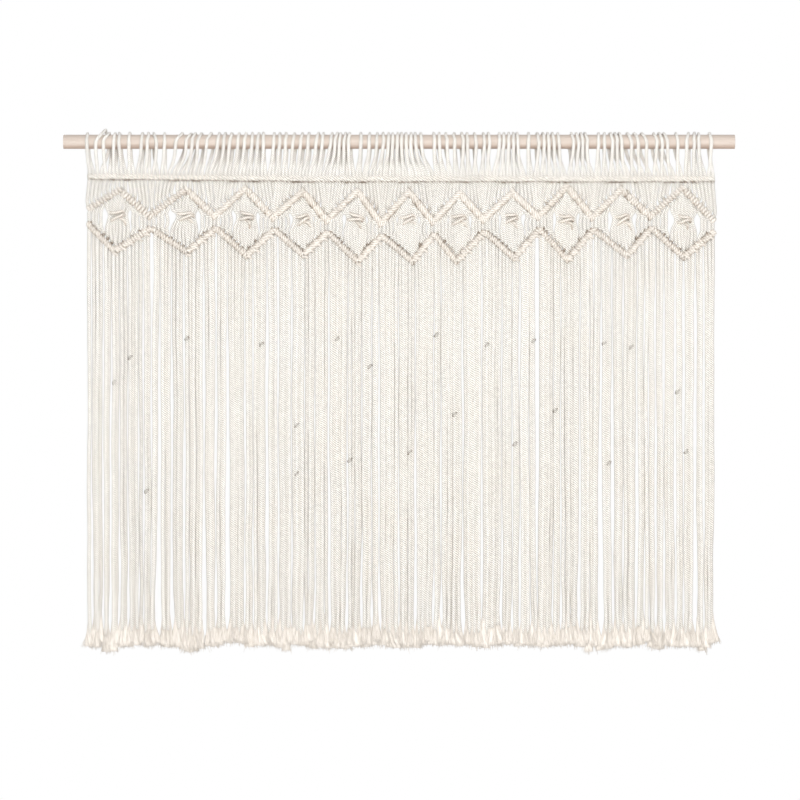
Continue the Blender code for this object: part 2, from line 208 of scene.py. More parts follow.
def putPiece(name, sets, material, *nodes, slot="cotton_cord"):
    # Joins tube sets into one mesh at the origin, which rides on the hanging's one body
    points = np.concatenate([s["points"] for s in sets]) * mm
    shift = np.cumsum([0] + [len(s["points"]) for s in sets])
    ids, faceSizes = [], []
    for s, first in zip(sets, shift):
        for faces in (s["quads"], s["caps"]):
            ids.append((faces + first).ravel())
            faceSizes.append(np.full(len(faces), faces.shape[1]))
    ids, faceSizes = np.concatenate(ids), np.concatenate(faceSizes)
    mesh = bpy.data.meshes.new(name)
    mesh.vertices.add(len(points))
    mesh.vertices.foreach_set("co", points.astype(np.float32).ravel())
    mesh.loops.add(len(ids))
    mesh.loops.foreach_set("vertex_index", ids.astype(np.int32))
    mesh.polygons.add(len(faceSizes))
    mesh.polygons.foreach_set("loop_start", (np.cumsum(faceSizes) - faceSizes).astype(np.int32))
    mesh.polygons.foreach_set("use_smooth", faceSizes == 4)
    for mapName, key in (("cordMap", "cordMap"), ("OFBake", "bakeMap")):
        uvMap = mesh.uv_layers.new(name=mapName, do_init=False)
        uvMap.uv.foreach_set("vector", stackedMaps(sets, key).astype(np.float32).ravel())
    for key in ("tone", "openness"):
        values = mesh.attributes.new(key, "FLOAT", "POINT")
        values.data.foreach_set("value", np.concatenate([s[key] for s in sets]).astype(np.float32))
    mesh.update(calc_edges=True)
    mesh.validate()
    mesh.materials.append(material)
    piece = bpy.data.objects.new(name, mesh)
    bpy.context.scene.collection.objects.link(piece)
    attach(piece, "root")
    if nodes:
        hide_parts(*nodes)
    print(name, int((faceSizes - 2).sum()), "triangles")


# Materials


def colour(hexValue):  # sRGB hex to linear RGBA
    c = np.array([int(hexValue[i : i + 2], 16) for i in (0, 2, 4)]) / 255
    linear = np.where(c <= 0.04045, c / 12.92, ((c + 0.055) / 1.055) ** 2.4)
    return (*linear.tolist(), 1)


def addNode(tree, kind, settings=None, values=None, links=None):  # with its settings, values and links
    node = tree.nodes.new(kind)
    for key, value in (settings or {}).items():
        setattr(node, key, value)
    for key, value in (values or {}).items():
        node.inputs[key].default_value = value
    for key, source in (links or {}).items():
        tree.links.new(source, node.inputs[key])
    return node


def newMaterial(name):  # a new material, its node tree and its shader
    material = bpy.data.materials.new(name)
    material.use_nodes = True
    return material, material.node_tree, material.node_tree.nodes["Principled BSDF"]


def shades(tree, factor, stops):  # a colour ramp; each stop is a place and a hex colour
    ramp = addNode(tree, "ShaderNodeValToRGB", links={"Fac": factor})
    while len(ramp.color_ramp.elements) < len(stops):
        ramp.color_ramp.elements.new(0.5)
    for element, (place, hexValue) in zip(ramp.color_ramp.elements, stops):
        element.position, element.color = place, colour(hexValue)
    return ramp.outputs["Color"]


def maths(tree, operation, first, second=None, third=None):  # a sum of numbers and sockets
    node = addNode(tree, "ShaderNodeMath", {"operation": operation})
    for place, term in enumerate((first, second, third)):
        if isinstance(term, (int, float)):
            node.inputs[place].default_value = term
        elif term is not None:
            tree.links.new(term, node.inputs[place])
    return node.outputs[0]


def attribute(tree, name):  # a number that the mesh carries at each point
    return addNode(tree, "ShaderNodeAttribute", {"attribute_name": name}).outputs["Fac"]


def objectPlace(tree):  # where a point of the piece lies, in metres
    return addNode(tree, "ShaderNodeTexCoord").outputs["Object"]


def stretched(tree, place, scale):  # the place, its three axes scaled
    return addNode(tree, "ShaderNodeMapping", values={"Scale": scale}, links={"Vector": place}).outputs[0]


def noise(tree, place, size, detail=1.0, **more):  # a random grain of that size in millimetres
    values = {"Scale": 1 / (size * mm), "Detail": detail, **more}
    return addNode(tree, "ShaderNodeTexNoise", values=values, links={"Vector": place}).outputs["Fac"]


def mixed(tree, share, under, hexValue, blend="MULTIPLY"):  # a colour over what is under it, by its share
    settings = {"data_type": "RGBA", "blend_type": blend}
    return addNode(tree, "ShaderNodeMix", settings, {7: colour(hexValue)}, {0: share, 6: under}).outputs[2]


def plySpiral(tree, lay, plies):  # saw-tooth across each ply: cord map turns + millimetres / lay, times plies
    place = addNode(tree, "ShaderNodeUVMap", {"uv_map": "cordMap"})
    split = addNode(tree, "ShaderNodeSeparateXYZ", links={"Vector": place.outputs["UV"]})
    along = maths(tree, "DIVIDE", split.outputs["Y"], lay)
    strands = maths(tree, "MULTIPLY", maths(tree, "ADD", split.outputs["X"], along), plies)
    return maths(tree, "MULTIPLY_ADD", maths(tree, "FRACT", strands), 2, -1)


def dress(tree, shader, base, height, look):  # joins colour and bump to the shader, and sets how matt it is
    bump = addNode(
        tree, "ShaderNodeBump", values={"Strength": look["bump"], "Distance": look["relief"] * mm},
        links={"Height": height},
    )
    tree.links.new(base, shader.inputs["Base Color"])
    tree.links.new(bump.outputs["Normal"], shader.inputs["Normal"])
    for name, value in look["surface"].items():
        shader.inputs[name].default_value = value


# The grooves' dark colour is painted shade between the plies; the crease and deep colours are painted shade
# where a cord tucks under another or cords press together.
cottonLook = {
    "groove": "918C86", "flank": "F3F1ED", "flankAt": 0.75, "crest": "FEFDFA",
    "tint": "FFFCF8", "tintSize": 60, "toneRange": (0.07, 0.93), "slubSize": 3.4, "slubShade": 0.4,
    "creaseShade": "BAB2A7", "creaseInGroove": 1.8, "creaseOnCrest": -1.2, "deep": "A99C8F", "deepShadeFrom": 0.35,
    "fuzzSize": 0.5, "fuzzRelief": 0.18, "relief": 0.7, "bump": 1.0,
    "surface": {"Roughness": 0.92, "Sheen Weight": 0.15, "Sheen Roughness": 0.5, "Specular IOR Level": 0.25},
}
# where hitches draw the cord tight its plies flatten and their grooves nearly close, so the painted
# shade in them is lighter; its crest and flank are a little darker than the loose cord's
tightLook = {
    **cottonLook,
    "groove": "BDB5AB", "flank": "EDE8E2", "crest": "F6F2ED", "creaseShade": "C2B7AB", "relief": 0.45,
}


def laidCotton(name, look):
    # Unbleached cotton, spun and laid as four plies: matt, off-white, with soft slanting grooves darkened by
    # painted shade, and painted shade in its creases where openness is low
    material, tree, shader = newMaterial(name)
    across = plySpiral(tree, cord["lay"], cord["plies"])
    ply = maths(tree, "SUBTRACT", 1, maths(tree, "MULTIPLY", across, across))  # 1 on a ply's crest
    place = objectPlace(tree)
    body = shades(tree, ply, [(0.0, look["groove"]), (look["flankAt"], look["flank"]), (1.0, look["crest"])])
    warmed = mixed(tree, noise(tree, place, look["tintSize"]), body, look["tint"])
    # painted shade in creases, where openness is low, is deepest in the grooves between the plies
    openness = attribute(tree, "openness")
    shut = maths(tree, "SUBTRACT", 1, openness)
    inGroove = maths(tree, "MULTIPLY_ADD", ply, look["creaseOnCrest"], look["creaseInGroove"])
    creased = mixed(tree, maths(tree, "MULTIPLY", shut, inGroove), warmed, look["creaseShade"])
    # and where cords press together hardest the painted shade is darker and browner still
    darkest = maths(tree, "MULTIPLY_ADD", openness, -1 / look["deepShadeFrom"], 1)
    deepened = mixed(tree, darkest, creased, look["deep"])
    # cords differ a little in tone, and the yarn has thicker and thinner places; the small knots' low tone is
    # painted shade
    slub = noise(tree, place, look["slubSize"])
    uneven = maths(tree, "MULTIPLY_ADD", slub, look["slubShade"], 1 - look["slubShade"] / 2)
    toneLevel = maths(tree, "MULTIPLY_ADD", attribute(tree, "tone"), *look["toneRange"])
    final = addNode(
        tree, "ShaderNodeVectorMath", {"operation": "SCALE"},
        links={0: deepened, "Scale": maths(tree, "MULTIPLY", toneLevel, uneven)},
    ).outputs[0]
    fuzz = noise(tree, place, look["fuzzSize"], 2.0)
    dress(tree, shader, final, maths(tree, "MULTIPLY_ADD", fuzz, look["fuzzRelief"], ply), look)
    return material


# The cut colour is the grey of the painted shade at the brushes' roots and towards their cut ends
frayLook = {
    "root": "C9C1B7", "tip": "E5DFD8", "cut": "E4E4E4", "toneShade": 0.6,
    "grain": 1.1, "stretch": 7, "contrast": 3.2, "level": 0.22, "relief": 0.8, "bump": 0.8,
    "lay": 24.0, "yarns": 9, "yarnMiddle": 0.4, "yarnShade": 0.8,
    "surface": {"Roughness": 0.95, "Sheen Weight": 0.2, "Specular IOR Level": 0.2},
}


def combedCotton(look):
    # The same cotton untwisted and combed out: matt, a little warmer, streaked along its loose fibres, and
    # its loose yarns still lie slanting
    material, tree, shader = newMaterial("combedCotton")
    place = stretched(tree, objectPlace(tree), (1, 1, 1 / look["stretch"]))
    grain = noise(tree, place, look["grain"], 2.0)
    streaked = maths(tree, "SUBTRACT", grain, 0.5)
    streaked = maths(tree, "MULTIPLY_ADD", streaked, look["contrast"], look["level"])
    crest = maths(tree, "ABSOLUTE", plySpiral(tree, look["lay"], look["yarns"]))
    crest = maths(tree, "SUBTRACT", crest, look["yarnMiddle"])
    lined = maths(tree, "MULTIPLY_ADD", crest, look["yarnShade"], streaked)
    toned = maths(tree, "MULTIPLY_ADD", attribute(tree, "tone"), look["toneShade"], lined)
    body = shades(tree, toned, [(0.0, look["root"]), (1.0, look["tip"])])
    # painted shade: greyed towards the cut colour where openness is low
    shut = maths(tree, "SUBTRACT", 1, attribute(tree, "openness"))
    dress(tree, shader, mixed(tree, shut, body, look["cut"]), grain, look)
    return material


woodLook = {
    "early": "CABEB4", "earlyAt": 0.3, "late": "BDAFA4", "lateAt": 0.72, "ring": 3.2, "stretch": 22,
    "pore": "A89386", "fleck": 0.45, "fleckFrom": 0.64, "fleckShade": 0.35,
    # the underside colour is painted shade: the rod darker towards its underside, as light from above leaves
    # it
    "undersideShade": "A58C7D", "undersideShadeFrom": -2.0, "undersideShadeTo": -10.5, "undersideShadeMost": 0.9, "relief": 0.08, "bump": 0.25,
    "surface": {"Roughness": 0.55, "Specular IOR Level": 0.35},
}


def sandedBeech(look):
    # Bare sanded beech dowel: pinkish beige, fine lengthwise grain with short darker flecks, and painted
    # shade darkening its underside
    material, tree, shader = newMaterial("sandedBeech")
    flat = objectPlace(tree)
    place = stretched(tree, flat, (1 / look["stretch"], 1, 1))
    grain = noise(tree, place, look["ring"], 4.0, Roughness=0.6)
    ground = shades(tree, grain, [(look["earlyAt"], look["early"]), (look["lateAt"], look["late"])])
    fleck = maths(tree, "GREATER_THAN", noise(tree, place, look["fleck"]), look["fleckFrom"])
    flecked = mixed(tree, maths(tree, "MULTIPLY", fleck, look["fleckShade"]), ground, look["pore"], "MIX")
    height = addNode(tree, "ShaderNodeSeparateXYZ", links={"Vector": flat}).outputs["Z"]
    undersideShade = {"From Min": look["undersideShadeFrom"] * mm, "From Max": look["undersideShadeTo"] * mm, "To Max": look["undersideShadeMost"]}
    smooth = {"interpolation_type": "SMOOTHSTEP"}  # painted shade: the underside darker, as light from above leaves it
    under = addNode(tree, "ShaderNodeMapRange", smooth, undersideShade, {"Value": height}).outputs["Result"]
    dress(tree, shader, mixed(tree, under, flecked, look["undersideShade"], "MIX"), grain, look)
    return material


cotton = laidCotton("twistedCotton", cottonLook)
tightCotton = laidCotton("tightCotton", tightLook)
frayedCotton = combedCotton(frayLook)
beech = sandedBeech(woodLook)
print("materials made")


# Rod

dowel = {"radius": 9.5, "halfLength": 450.0, "ease": 0.4, "easeRings": 5, "sides": 48, "stations": 46}


def makeDowel(size):
    # A plain rod, round at its full radius, with its two edges eased on a quarter circle of radius ease:
    # (x, radius) = (halfLength - ease * (1 - sin b), radius - ease * (1 - cos b))
    bend = np.linspace(0, np.pi / 2, size["easeRings"])
    endX = size["halfLength"] - size["ease"] * (1 - np.sin(bend))
    endRadius = size["radius"] - size["ease"] * (1 - np.cos(bend))
    middle = np.linspace(-endX[0], endX[0], size["stations"])[1:-1]
    x = np.concatenate([-endX[::-1], middle, endX])
    radius = np.concatenate([endRadius[::-1], np.full(len(middle), size["radius"]), endRadius])
    path = np.stack([x, 0 * x, 0 * x], 1)[None]
    rod = tubeSet(path, radius[None], (0, 0, 1), sides=size["sides"])
    putPiece("dowel", [rod], beech, "rod", slot="dowel_wood")


makeDowel(dowel)


# Loops over the rod

# Bunches of loops side by side: how many, where the first and the last pass down the rod's front, and how
# far along the rod their tops lean from there
bunches = [
    (1, -418, -418, 0), (2, -406, -396, 7), (2, -382, -375, 1), (1, -362, -362, 0), (2, -345, -337, 2),
    (1, -325, -325, -3), (1, -314, -314, 0), (1, -299, -299, 8), (3, -285, -270, 5), (1, -258, -258, 6),
    (3, -243, -227, 2), (2, -216, -207, 2), (3, -197, -182, 1), (3, -168, -152, 1), (3, -142, -122, 2),
    (2, -111, -103, 2), (5, -92, -68, 2), (1, -51, -51, 0), (2, -40, -30, 1), (8, -21, 22, 0),
    (1, 30, 30, -1), (2, 47, 54, -1), (2, 64, 74, -1), (2, 86, 92, -2), (1, 103, 103, -2),
    (2, 114, 121, -1), (5, 134, 159, 0), (1, 173, 173, 1), (5, 187, 214, -2), (4, 234, 252, -3),
    (2, 267, 275, 0), (3, 286, 298, -3), (2, 311, 320, -5), (1, 331, 331, -6), (3, 345, 359, -4),
    (1, 373, 373, -3), (1, 385, 385, 2), (2, 395, 401, 0), (1, 418, 418, -2),
]
looseLoop = {"x": -406, "lean": 12.0, "lift": 4.2}  # it stands up off the rod
loops = {
    "radiusOnRod": 1.95, "radius": 2.35, "thickness": 0.03, "rings": 96, "onRod": 0.26, "press": 0.15,
    "gatherAbove": 6.5, "bulge": 2.9, "leanVaries": 0.6, "climb": 1.3, "leanOn": 0.35, "wander": 0.25,
    "overRod": (-16, 12, 40, 66, 90, 114, 140, 168, 196),
}
# painted shade, laid on by openness: where a loop leaves the header, just above it, and on the rear legs
# under the rod
loopShade = {  # dark where a loop leaves the header, a little darker just above it, and behind, under the rod
    "openFrom": -3.2, "openOver": 1.6, "atHeader": 0.35, "headerReach": 4.0,
    "underRod": 0.4, "rodZ": -10.4, "rodReach": 1.3, "behindFrom": 0.1,
}


def makeLoops(size):
    # Each loop runs up from the header in front, round the rod on a circle and down behind:
    # (x, y, z) = (x, -R cos a, R sin a) over the rod, and free curves down to its two ends' places
    frontX = np.concatenate([np.linspace(first, last, many) for many, first, last, _ in bunches])
    lean = np.concatenate([np.full(many, float(by)) for many, _, _, by in bunches])
    lean += dice.normal(0, size["leanVaries"], len(lean))
    loose = np.abs(frontX - looseLoop["x"]) < 1
    lean = np.where(loose, looseLoop["lean"], lean)
    lift = np.where(loose, looseLoop["lift"], 0.0)
    frontFoot, rearFoot = cordX[0::2], cordX[1::2]
    bearing = dowel["radius"] + size["radiusOnRod"] - size["press"]
    controls = []

    def at(x, y, z):
        controls.append(np.stack(np.broadcast_arrays(x, y, z), 1).astype(float))

    def leg(footX, topX, y):  # from under the header up to the rod, leaving the header straight up
        top, across = headerZ(footX), topX - footX
        at(footX + 0.8, 1.0, top - 2.2)  # inside the header
        at(footX + 0.8, -1.8, top - 3.0)  # under its holding cord
        at(footX + 0.3, -size["bulge"], top - 0.8)  # down over its front
        at(footX, -size["bulge"] * 0.95, top + 2.5)
        at(footX + across * 0.06, y * 0.5 - 1.6, top + 2.0 + size["gatherAbove"])  # then the loops lean
        at(footX + across * 0.42, y * 1.2 - 0.6, top * 0.62)
        at(footX + across * 0.8, -bearing * 0.72 * np.sign(-y), top * 0.36)  # just under the rod

    leg(frontFoot, frontX, layer["front"])
    for degrees in size["overRod"]:
        a = math.radians(degrees)
        climbed = max(math.sin(a), 0) ** size["climb"]
        if degrees > 90:
            climbed = 1 + size["leanOn"] * (1 - math.sin(a))
        raised = bearing + lift * max(0.0, math.sin(a))
        at(frontX + lean * climbed, -raised * math.cos(a), raised * math.sin(a))
    ready, controls = controls, []
    leg(rearFoot, frontX + lean * (1 + size["leanOn"]), layer["rear"])
    points = np.stack(ready + controls[::-1], 1)
    points[:, 4:-4] += dice.normal(0, size["wander"], points[:, 4:-4].shape)
    paths = linked(points, size["rings"])
    along = np.linspace(-1, 1, size["rings"])
    onRod = np.exp(-((along / size["onRod"]) ** 4))
    radius = size["radius"] + (size["radiusOnRod"] - size["radius"]) * onRod
    radius = radius[None] * (1 + dice.normal(0, size["thickness"], (len(frontX), 1)))
    atHeader = paths[..., 2] - headerZ(frontFoot)[:, None]
    # painted shade where the loop leaves the header, just above it, and behind, under the rod
    shade = np.clip((atHeader - loopShade["openFrom"]) / loopShade["openOver"], 0.0, 1)
    shade = shade * (1 - loopShade["atHeader"] * np.exp(-((atHeader / loopShade["headerReach"]) ** 2)))
    fromRod = (paths[..., 2] - loopShade["rodZ"]) / loopShade["rodReach"]
    underRod = loopShade["underRod"] * np.exp(-(fromRod**2))
    shade = np.where(along > loopShade["behindFrom"], shade - underRod, shade)
    tubes = tubeSet(paths, radius, (1, 0, 0), openness=shade)
    putPiece("loopCords", [tubes], cotton, "heading")


makeLoops(loops)


# Rows of hitches

# A hitch's turn runs from behind over its top, front and underside to behind again, in shares of pi from
# its top. It varies by its slide along the row, the lean of its ends, its thickness and its painted shade.
hitch = {
    "from": -0.52, "to": 1.52, "rings": 16, "slide": 0.2, "lean": 1.5, "thickness": 0.04, "shade": 0.15,
    "rearOpens": 4.0,
}
heldCore = {"rings": 12, "openness": 0.3}


def wraps(centres, runs, size):
    # A hitch's turn around its holding cord, an ellipse square to the row that creeps along it:
    # centre + cos(a) * halfHeight * up + sin(a) * halfDepth * front + creep * (a / 2 pi - 1/4) * run,
    # where a = 0 is its top, pi / 2 its front and pi its underside
    count = len(centres)
    rising = runs[:, 2:] > 0
    up = unit(np.stack([-runs[:, 2], 0 * runs[:, 0], runs[:, 0]], 1))
    a = np.linspace(hitch["from"], hitch["to"], hitch["rings"])[None, :, None] * np.pi
    jitter = dice.normal(0, 1, (count, 5, 1, 1))
    height = np.where(rising, *size["halfHeight"])[..., None]
    tall = height * (1 + size["loose"] * jitter[:, 0])
    deep = size["halfDepth"] * (1 + size["loose"] * jitter[:, 1])
    middle = centres[:, None] + runs[:, None] * hitch["slide"] * jitter[:, 2] + [0, size["forward"], 0]
    tip = size["loose"] * hitch["lean"] * jitter[:, 4] * height
    paths = (
        middle + np.cos(a) * (tall * up[:, None] + tip * runs[:, None])
        - np.sin(a) * deep * np.array([0, 1.0, 0])
        + size["creep"] * (a / (2 * np.pi) - 0.25) * runs[:, None]
    )
    radius = size["radius"] * (1 + hitch["thickness"] * jitter[:, 3, :, 0])
    # painted shade at a turn's top and under edge, on a leg that rises or falls to the right, and how fast
    # it clears from those edges towards the turn's front and its rear
    edges = np.where(rising, size["edges"]["rising"], size["edges"]["falling"])
    a = a[..., 0]
    edge = np.where(np.cos(a) > 0, edges[:, :1], edges[:, 1:])
    opens = np.where(np.sin(a) > 0, size["opens"], hitch["rearOpens"])
    shade = np.clip(edge + hitch["shade"] * jitter[:, 4, :, 0] + opens * np.abs(np.sin(a)), 0, 1)
    return tubeSet(paths, radius, runs[:, None], openness=shade, pinch=size["pinch"])


def alongRow(legs, perLeg):  # even places along each leg of a row, and the leg's direction there
    perLeg = np.broadcast_to(perLeg, len(legs))
    leg = np.repeat(np.arange(len(legs)), perLeg)
    share = np.concatenate([(np.arange(many) + 0.5) / many for many in perLeg])[:, None]
    places = legs[leg, 0] + (legs[leg, 1] - legs[leg, 0]) * share
    run = unit(legs[:, 1] - legs[:, 0])[leg]
    centres = np.stack([places[:, 0], 0 * places[:, 0], places[:, 1]], 1)
    return centres, np.stack([run[:, 0], 0 * run[:, 0], run[:, 1]], 1)


def heldCord(legs, size):  # the holding cord inside a row, leg by leg, in the shade of the turns around it
    share = np.linspace(0, 1, heldCore["rings"])[None, :, None]
    places = legs[:, :1] + (legs[:, 1:] - legs[:, :1]) * share
    path = np.stack([places[..., 0], 0 * places[..., 0] + size["forward"], places[..., 1]], -1)
    return tubeSet(path, size["core"], (0, 1, 0), openness=heldCore["openness"])


# The cords come down over the header's holding cord themselves; a turn fills the valley after each
# edges, opens and pinch set the painted shade of each turn: at its top and under edges and on its flanks
header = {
    "halfHeight": (2.3, 2.3), "halfDepth": 1.9, "radius": 2.1, "core": 2.2, "loose": 0.1, "forward": -1.0,
    "creep": 3.6, "ripple": 0.35, "pinch": 0.0, "opens": 2.2,
    "edges": {"rising": (1.0, 0.1), "falling": (1.0, 0.1)},
}


def makeHeader(size):
    # A turn halfway between each two neighbouring cords, around a holding cord at the header's height
    x = (cordX[1:] + cordX[:-1]) / 2
    centres = np.stack([x, 0 * x, headerZ(x) + dice.normal(0, size["ripple"], len(x))], 1)
    runs = np.tile([1.0, 0, 0], (len(x), 1))
    ends = np.stack([cornerX, headerZ(cornerX)], 1)
    legs = np.stack([ends[:-1], ends[1:]], 1)
    putPiece("headerHitches", [wraps(centres, runs, size), heldCord(legs, size)], tightCotton)


makeHeader(header)

# Turns on each leg of the upper rows, diamond by diamond: the first ones are tied broader
upperPerLeg = np.repeat([11, 14, 15, 16, 16, 16, 16, 16, 15, 14, 13], 2)
# in each row, edges, opens and pinch set the painted shade of its turns' edges and flanks
upperRow = {
    "halfHeight": (2.7, 3.5), "halfDepth": 2.6, "radius": 2.1, "perLeg": upperPerLeg, "core": 2.4,
    "loose": 0.06, "forward": -1.4, "creep": 1.6, "pinch": 0.35, "opens": 1.05,
    "edges": {"rising": (0.4, -0.1), "falling": (0.1, -0.15)},
}
lowerRow = {
    "halfHeight": (3.0, 1.8), "halfDepth": 2.7, "radius": 1.9, "perLeg": 15, "core": 2.2,
    "loose": 0.07, "forward": -1.6, "creep": 2.4, "pinch": 0.35, "opens": 1.05,
    "edges": {"rising": (-0.15, 0.4), "falling": (-0.25, 0.5)},
}
huggingRow = {
    "halfHeight": (0.7, 0.9), "halfDepth": 2.8, "radius": 1.45, "perLeg": 15, "core": 1.5,
    "loose": 0.12, "forward": -1.4, "creep": 5.0, "pinch": 0.5, "opens": 1.0,
    "edges": {"rising": (0.1, 0.0), "falling": (0.2, -0.1)},
}
steps = {  # on the rising side of each foot the hugging row loosens into single turns, one for two cords
    "radius": 1.7, "halfWidth": 3.4, "widthVaries": 0.08, "halfDepth": 3.4, "forward": 0.6, "bow": 0.8,
    "drop": 6.0, "dropVaries": 0.5, "tilt": 0.2, "tiltVaries": 0.5, "sweep": 0.55, "rings": 22,
    # edge, opens and darkest set the painted shade towards each ring's back, pinch on its flanks
    "edge": 0.5, "opens": 1.6, "darkest": 0.35, "pinch": 0.5,
}


def makeRow(name, legs, size, *nodes):
    # Turns at even places along each leg of a zigzag, around a holding cord from corner to corner
    centres, runs = alongRow(legs, size["perLeg"])
    sets = [wraps(centres, runs, size), heldCord(legs, size)]
    putPiece(name, sets, tightCotton, *nodes)


def makeHuggingRow(name, legs, size, step):
    # Turns along each falling leg; up the rising leg each pair of cords has a flat ring of its own:
    # (x, y) = (sin a * halfWidth, -cos a * halfDepth), falling a little from left to right
    centres, runs = alongRow(legs, size["perLeg"])
    falling = runs[:, 2] < 0
    x = cordX[cordIndex.reshape(-1, 2)].mean(1)
    x = x[rowZ(lowerLegs, x + 0.5) > rowZ(lowerLegs, x - 0.5)]  # where the row rises to the right
    z = rowZ(lowerLegs, x) - step["drop"]
    each = (len(x), 1)
    a = np.linspace(-step["sweep"], step["sweep"], step["rings"])[None] * 2 * np.pi
    wide = step["halfWidth"] * (1 + dice.normal(0, step["widthVaries"], each))
    tilt = step["tilt"] * (1 + dice.normal(0, step["tiltVaries"], each))
    dropped = z[:, None] + dice.normal(0, step["dropVaries"], each)
    path = np.stack([
        x[:, None] + np.sin(a) * wide,
        -np.cos(a) * step["halfDepth"] - step["forward"] + 0 * wide,
        dropped - np.sin(a) * wide * tilt + step["bow"] * np.cos(2 * a),
    ], -1)
    # painted shade, darkest at each ring's back
    shade = np.clip(step["edge"] + step["opens"] * np.cos(a), step["darkest"], 1)
    sets = [
        wraps(centres[falling], runs[falling], size),
        tubeSet(path, step["radius"], (0, 0, 1), openness=shade, pinch=step["pinch"]),
        heldCord(legs, size),
    ]
    putPiece(name, sets, tightCotton)


makeRow("upperHitches", upperLegs, upperRow, "diamond_band")
makeRow("lowerHitches", lowerLegs, lowerRow)
makeHuggingRow("huggingHitches", huggingLegs, huggingRow, steps)


def acrossRow(legs, x):  # the upward square direction of a row at x, as x and z
    leg = np.clip(np.searchsorted(legs[:, 0, 0], x) - 1, 0, len(legs) - 1)
    run = unit(legs[:, 1] - legs[:, 0])[leg]
    return -run[..., 1], run[..., 0]


# Cords between the header and the upper row

# Between the rows the front and the rear cords lie nearer each other, and a little forward
rowCord = {"radius": 2.45, "thickness": 0.03, "swell": 0.12, "apart": 0.6, "forward": 1.3}
betweenY = layerY * rowCord["apart"] - rowCord["forward"]
shortCords = {
    "rings": 18, "fan": 3.0, "wander": 0.3, "depthVaries": 0.35, "start": 2.0, "straightWithin": 18.0,
    "entry": (1.5, 7.0), "entryShare": 0.4, "entryPast": 8,
}
# painted shade on the cords between the rows: a little all along, more where they tuck under a row or the
# header
cordShade = {"rowEdge": 4.2, "rowOver": 0.8, "deepest": (0.3, 1.0), "lightest": 0.85}
underHeader = {"edge": 3.9, "over": 0.9, "deepest": (0, 0.35)}
apexX = np.array([d["apex"][0] for d in diamonds], float)[diamondOf]


def swollen(rings):  # a cord's radius is full along it, and swells to its ends inside the rows
    ends = np.abs(np.linspace(-1, 1, rings)) ** 4
    varied = dice.normal(0, rowCord["thickness"], (cordCount, 1))
    return rowCord["radius"] * (1 + rowCord["swell"] * ends + varied)


def makeShortCords(size):
    # From under the header down to the upper row, which each cord enters square to the row and from behind
    top = headerZ(cordX) - size["start"]
    footX = cordX - (placeInDiamond - 0.5) * size["fan"] + dice.normal(0, size["wander"], cordCount)
    foot = rowZ(upperLegs, footX)
    outX, outZ = acrossRow(upperLegs, footX)
    outX = outX * np.clip(np.abs(footX - apexX) / size["straightWithin"] - 0.1, 0, 1)
    reach = np.clip((top - foot - size["entryPast"]) * size["entryShare"], *size["entry"])
    y = betweenY + dice.normal(0, size["depthVaries"], cordCount)
    stops = [
        (cordX, 0.6 + 0 * y, top),  # inside the header
        (cordX, y, top - 3.0),
        ((cordX + footX + outX * reach) / 2, y, (top + foot + reach) / 2),
        (footX + outX * reach, y, foot + outZ * reach + 2),  # turning to lie square to the row
        (footX + outX * 2.5, y * 0.3 + 0.6, foot + outZ * 2.5),
        (footX, 0.8 + 0 * y, foot),  # inside the row
    ]
    paths = throughStops(stops, size["rings"])
    radius = swollen(size["rings"])
    # painted shade under the header and where the cord tucks under the upper row
    fromTop = (top[:, None] - paths[..., 2] - underHeader["edge"]) / underHeader["over"]
    fromRow = ((paths[..., 2] - foot[:, None]) * outZ[:, None] - cordShade["rowEdge"]) / cordShade["rowOver"]
    deepest = dice.uniform(*cordShade["deepest"], (cordCount, 1))
    shade = deepest + (1 - deepest) * np.clip(fromRow, 0, 1)
    darkestAtTop = dice.uniform(*underHeader["deepest"], (cordCount, 1))
    shade = shade * np.maximum(np.clip(fromTop, 0, cordShade["lightest"]), darkestAtTop)
    tubes = tubeSet(paths, radius, (1, 0, 0), openness=shade)
    putPiece("shortCords", [tubes], cotton)


makeShortCords(shortCords)


# Inside the diamonds

innerCords = {
    "rings": 40, "bunchHalf": 14.0, "gripHalfHeight": 4.0, "gripShare": 0.12, "entry": 6.0,
    "entryShare": 0.16, "wander": 0.3, "depths": (-2.6, 0.6), "roomForFive": 25, "sag": (0.42, 0.4),
    "tallFrom": 30, "nearest": 0.3,
}
# The lower row's own top edge lies nearer on the legs that rise to the left, and paints more shade on the
# cords there
lowerShade = {"edges": (3.2, 4.0), "least": 0.05, "most": (0.5, 0.7)}
# painted shade on the cords around each square knot
knotShade = {"halfWidth": 9, "halfHeight": 7, "darkest": 0.45}


